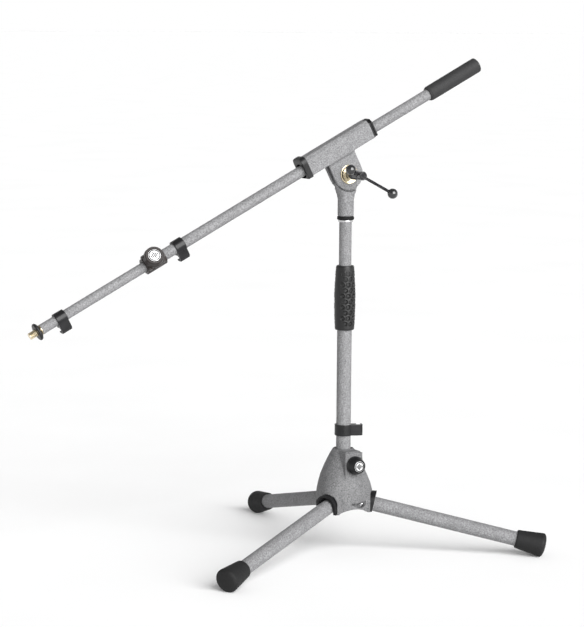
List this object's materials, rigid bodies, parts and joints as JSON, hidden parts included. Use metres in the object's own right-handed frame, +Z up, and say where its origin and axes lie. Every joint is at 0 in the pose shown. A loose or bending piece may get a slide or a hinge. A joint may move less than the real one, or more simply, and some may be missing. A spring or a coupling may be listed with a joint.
{
  "type": "microphone stand",
  "caption": "Low folding tripod microphone stand with a height-adjustable column and a tilting telescopic boom arm.",
  "frame": {"origin": "on the floor, under the middle of the stand's footprint and boom taken together", "axes": "+Z up; +X along the boom towards its grip end, with the microphone end at -X; -Y is the side of the clamping knobs"},
  "size_m": [0.7024, 0.438, 0.6762],
  "materials": {
    "grey_textured_paint": "satin",
    "black_plastic": "satin",
    "black_gloss_plastic": "gloss",
    "black_rubber": "matte",
    "bright_steel": "satin",
    "brass_plate": "satin",
    "silver_badge": "satin"
  },
  "bodies": {
    "base": {"hub_casting": "grey_textured_paint", "column_pressure_pad": "black_plastic", "slot_liner_right": "black_plastic", "hinge_pin_right": "bright_steel", "slot_liner_front": "black_plastic", "hinge_pin_front": "bright_steel", "slot_liner_rear": "black_plastic", "hinge_pin_rear": "bright_steel"},
    "leg_right": {"leg_tube_right": "grey_textured_paint", "leg_knuckle_right": "black_plastic", "foot_cap_right": "black_rubber"},
    "leg_front": {"leg_tube_front": "grey_textured_paint", "leg_knuckle_front": "black_plastic", "foot_cap_front": "black_rubber"},
    "leg_rear": {"leg_tube_rear": "grey_textured_paint", "leg_knuckle_rear": "black_plastic", "foot_cap_rear": "black_rubber"},
    "hub_clamp_knob": {"hub_knob": "black_plastic", "hub_knob_badge": "silver_badge", "hub_knob_screw": "bright_steel"},
    "column": {"column_outer_tube": "grey_textured_paint", "column_end_plug": "black_plastic", "clutch_sleeve": "bright_steel", "clutch_collet": "black_plastic"},
    "column_clip": {"column_cable_clip": "black_plastic"},
    "clutch": {"clutch_grip": "black_rubber", "clutch_nut": "black_plastic"},
    "extension": {"column_inner_tube": "grey_textured_paint", "column_guide_bush": "black_plastic"},
    "head": {"neck_casting": "grey_textured_paint", "neck_seal_ring": "black_rubber", "neck_spring_ring": "bright_steel", "pivot_friction_disc_front": "black_plastic", "pivot_friction_disc_rear": "black_plastic"},
    "boom_clamp": {"boom_clamp_block": "grey_textured_paint", "clamp_bush_mic_end": "black_plastic", "clamp_bush_grip_end": "black_plastic", "clamp_washer": "brass_plate", "clamp_nut": "bright_steel"},
    "clamp_handle": {"clamp_screw": "black_gloss_plastic"},
    "toggle": {"toggle_bar": "bright_steel", "toggle_ball_near": "black_gloss_plastic", "toggle_ball_far": "black_gloss_plastic"},
    "liner": {"boom_liner": "black_plastic"},
    "boom": {"boom_outer_tube": "grey_textured_paint", "boom_grip": "black_rubber", "boom_collar": "black_plastic"},
    "boom_clip": {"boom_cable_clip": "black_plastic"},
    "boom_clamp_knob": {"boom_knob": "black_plastic", "boom_knob_badge": "silver_badge", "boom_knob_screw": "bright_steel"},
    "boom_extension": {"boom_inner_tube": "grey_textured_paint", "boom_guide_bush": "black_plastic", "mic_thread_stud": "brass_plate"},
    "mic_clip": {"mic_cable_clip": "black_plastic"},
    "lock_disc": {"mic_lock_disc": "black_plastic"}
  },
  "joints": [
    {"name": "leg_fold_right", "type": "hinge", "parent": "base", "child": "leg_right", "pos_m": [0.12957, -0.07498, 0.071], "axis": [0.5225, 0.8526, 0], "range_deg": [0, 77]},
    {"name": "leg_fold_front", "type": "hinge", "parent": "base", "child": "leg_front", "pos_m": [0.08455, -0.07381, 0.071], "axis": [0.4772, -0.8788, 0], "range_deg": [0, 77]},
    {"name": "leg_fold_rear", "type": "hinge", "parent": "base", "child": "leg_rear", "pos_m": [0.10808, -0.03541, 0.071], "axis": [-0.9997, 0.0262, 0], "range_deg": [0, 77]},
    {"name": "hub_knob_turn", "type": "hinge", "parent": "base", "child": "hub_clamp_knob", "pos_m": [0.1074, -0.0614, 0.127], "axis": [0.0262, -0.9997, 0], "range_deg": [0, 540]},
    {"name": "column_height", "type": "slide", "parent": "base", "child": "column", "axis": [0, 0, 1], "range_m": [-0.016, 0.04]},
    {"name": "column_clip_turn", "type": "hinge", "parent": "column", "child": "column_clip", "pos_m": [0.1074, -0.0614, 0.1715], "axis": [0, 0, 1], "continuous": true},
    {"name": "clutch_twist", "type": "hinge", "parent": "column", "child": "clutch", "pos_m": [0.1074, -0.0614, 0.354], "axis": [0, 0, 1], "range_deg": [0, 180]},
    {"name": "extension_height", "type": "slide", "parent": "column", "child": "extension", "axis": [0, 0, 1], "range_m": [-0.057, 0.16]},
    {"name": "head_swivel", "type": "hinge", "parent": "extension", "child": "head", "pos_m": [0.1074, -0.0614, 0.47], "axis": [0, 0, 1], "continuous": true},
    {"name": "boom_tilt", "type": "hinge", "parent": "head", "child": "boom_clamp", "pos_m": [0.1074, -0.0614, 0.5225], "axis": [0, 1, 0], "range_deg": [-33, 116]},
    {"name": "clamp_handle_turn", "type": "hinge", "parent": "boom_clamp", "child": "clamp_handle", "pos_m": [0.1074, -0.0614, 0.5225], "axis": [0, -1, 0], "range_deg": [0, 360]},
    {"name": "toggle_slide", "type": "slide", "parent": "clamp_handle", "child": "toggle", "axis": [0.887, 0, -0.4617], "range_m": [-0.041, 0.0045]},
    {"name": "boom_roll", "type": "hinge", "parent": "boom_clamp", "child": "liner", "pos_m": [0.09103, -0.0614, 0.55422], "axis": [0.8886, 0, 0.4587], "continuous": true},
    {"name": "boom_slide", "type": "slide", "parent": "liner", "child": "boom", "axis": [0.8886, 0, 0.4587], "range_m": [-0.09, 0.185]},
    {"name": "boom_clip_turn", "type": "hinge", "parent": "boom", "child": "boom_clip", "pos_m": [-0.14179, -0.0614, 0.43406], "axis": [0.8886, 0, 0.4587], "continuous": true},
    {"name": "boom_knob_turn", "type": "hinge", "parent": "boom", "child": "boom_clamp_knob", "pos_m": [-0.17911, -0.0614, 0.41479], "axis": [-0.243, -0.848, 0.4709], "range_deg": [0, 540]},
    {"name": "boom_length", "type": "slide", "parent": "boom", "child": "boom_extension", "axis": [-0.8886, 0, -0.4587], "range_m": [-0.12, 0.03]},
    {"name": "mic_clip_turn", "type": "hinge", "parent": "boom_extension", "child": "mic_clip", "pos_m": [-0.30752, -0.0614, 0.34852], "axis": [0.8886, 0, 0.4587], "continuous": true},
    {"name": "lock_disc_turn", "type": "hinge", "parent": "boom_extension", "child": "lock_disc", "pos_m": [-0.33729, -0.0614, 0.33315], "axis": [0.8886, 0, 0.4587], "continuous": true}
  ]
}
